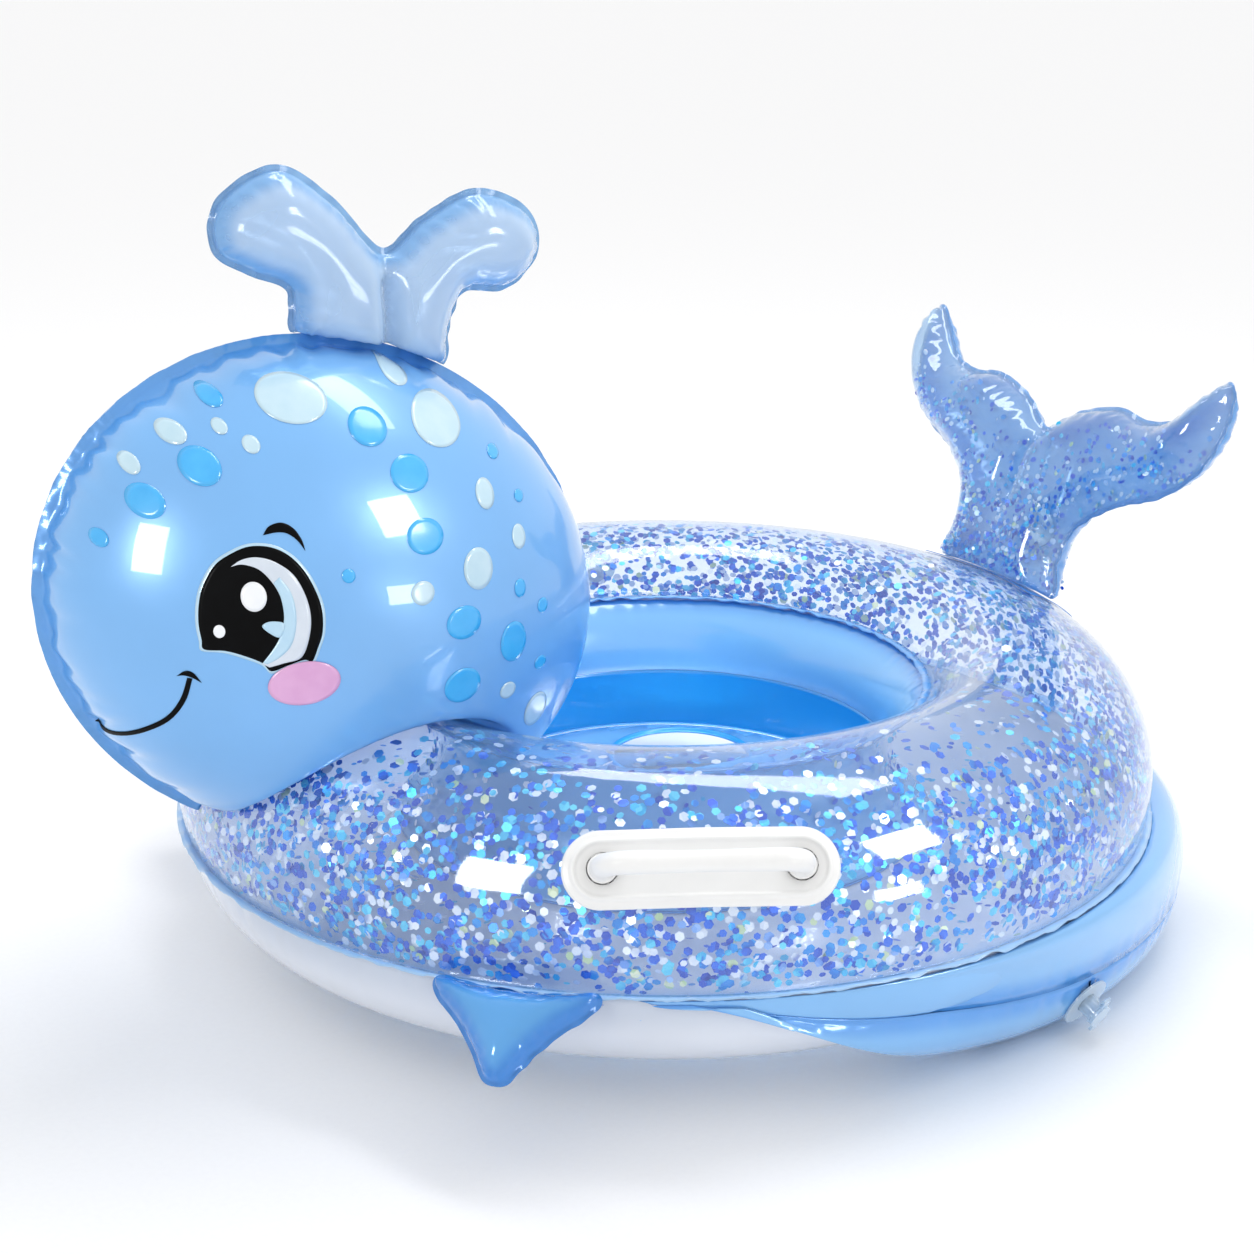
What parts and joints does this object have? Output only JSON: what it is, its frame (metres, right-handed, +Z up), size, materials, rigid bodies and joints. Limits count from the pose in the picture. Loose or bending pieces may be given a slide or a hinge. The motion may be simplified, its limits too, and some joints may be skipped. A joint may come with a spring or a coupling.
{
  "type": "inflatable pool float",
  "caption": "Whale-shaped inflatable baby float: a ring of welded film panels with leg-hole seat, head with spout, tail, fins, grab handles, bumper tube and plugged valves.",
  "frame": {"origin": "on the ground under the middle of the whole float", "axes": "+Z up, the whale faces -Y, its left side is +X"},
  "size_m": [0.6618, 0.7818, 0.5237],
  "materials": {
    "clear_film": "gloss",
    "white_film": "gloss",
    "light_blue_film": "gloss",
    "deep_blue_film": "gloss",
    "pearl_blue_film": "satin",
    "pale_blue_film": "gloss",
    "royal_blue_film": "gloss",
    "bumper_film": "gloss",
    "moulded_pvc": "satin",
    "glitter_foil": "gloss",
    "valve_pvc": "gloss"
  },
  "bodies": {
    "float": {"ring_top_panel": "clear_film", "ring_bottom_panel": "white_film", "ring_inner_panel": "light_blue_film", "outer_seam_flange": "clear_film", "upper_seam_flange": "light_blue_film", "lower_seam_flange": "light_blue_film", "ring_glitter": "glitter_foil", "seat_wall": "deep_blue_film", "seat_floor": "deep_blue_film", "leg_collar_left": "deep_blue_film", "leg_collar_right": "deep_blue_film", "seat_saddle": "deep_blue_film", "head_panel_left": "pearl_blue_film", "head_panel_right": "pearl_blue_film", "head_weld_patch": "pearl_blue_film", "spout_panel_left": "pale_blue_film", "spout_panel_right": "pale_blue_film", "tail_panel_front": "clear_film", "tail_panel_back": "royal_blue_film", "tail_weld_patch": "royal_blue_film", "tail_glitter": "glitter_foil", "fin_upper_left": "royal_blue_film", "fin_lower_left": "royal_blue_film", "fin_upper_right": "royal_blue_film", "fin_lower_right": "royal_blue_film", "handle_plate_left": "moulded_pvc", "handle_grip_left": "moulded_pvc", "handle_plate_right": "moulded_pvc", "handle_grip_right": "moulded_pvc", "bumper_panel_upper": "bumper_film", "bumper_panel_lower": "bumper_film", "ring_valve_base": "valve_pvc", "head_valve_base": "valve_pvc", "tail_valve_base": "valve_pvc", "bumper_valve_base": "valve_pvc"},
    "ring_stem": {"ring_valve_stem": "valve_pvc", "ring_valve_flap": "valve_pvc"},
    "ring_plug": {"ring_valve_plug": "valve_pvc"},
    "head_stem": {"head_valve_stem": "valve_pvc", "head_valve_flap": "valve_pvc"},
    "head_plug": {"head_valve_plug": "valve_pvc"},
    "tail_stem": {"tail_valve_stem": "valve_pvc", "tail_valve_flap": "valve_pvc"},
    "tail_plug": {"tail_valve_plug": "valve_pvc"},
    "bumper_stem": {"bumper_valve_stem": "valve_pvc", "bumper_valve_flap": "valve_pvc"},
    "bumper_plug": {"bumper_valve_plug": "valve_pvc"}
  },
  "joints": [
    {"name": "ring_stem_push", "type": "slide", "parent": "float", "child": "ring_stem", "axis": [-0.8905, 0.3241, 0.3194], "range_m": [-0.008, 0]},
    {"name": "ring_plug_strap", "type": "hinge", "parent": "ring_stem", "child": "ring_plug", "pos_m": [-0.30786, 0.14096, 0.1633], "axis": [0.342, 0.9397, 0], "range_deg": [0, 150]},
    {"name": "head_stem_push", "type": "slide", "parent": "float", "child": "head_stem", "axis": [-0.8363, 0.5461, 0.0478], "range_m": [-0.008, 0]},
    {"name": "head_plug_strap", "type": "hinge", "parent": "head_stem", "child": "head_plug", "pos_m": [-0.09482, -0.08582, 0.27142], "axis": [0.5468, 0.8373, 0], "range_deg": [0, 150]},
    {"name": "tail_stem_push", "type": "slide", "parent": "float", "child": "tail_stem", "axis": [0, 0.8697, -0.4936], "range_m": [-0.008, 0]},
    {"name": "tail_plug_strap", "type": "hinge", "parent": "tail_stem", "child": "tail_plug", "pos_m": [0, 0.36063, 0.23448], "axis": [1, 0, 0], "range_deg": [0, 150]},
    {"name": "bumper_stem_push", "type": "slide", "parent": "float", "child": "bumper_stem", "axis": [0.8716, 0.2238, -0.4362], "range_m": [-0.008, 0]},
    {"name": "bumper_plug_strap", "type": "hinge", "parent": "bumper_stem", "child": "bumper_plug", "pos_m": [0.30781, 0.16394, 0.02926], "axis": [0.2487, -0.9686, 0], "range_deg": [0, 150]}
  ]
}
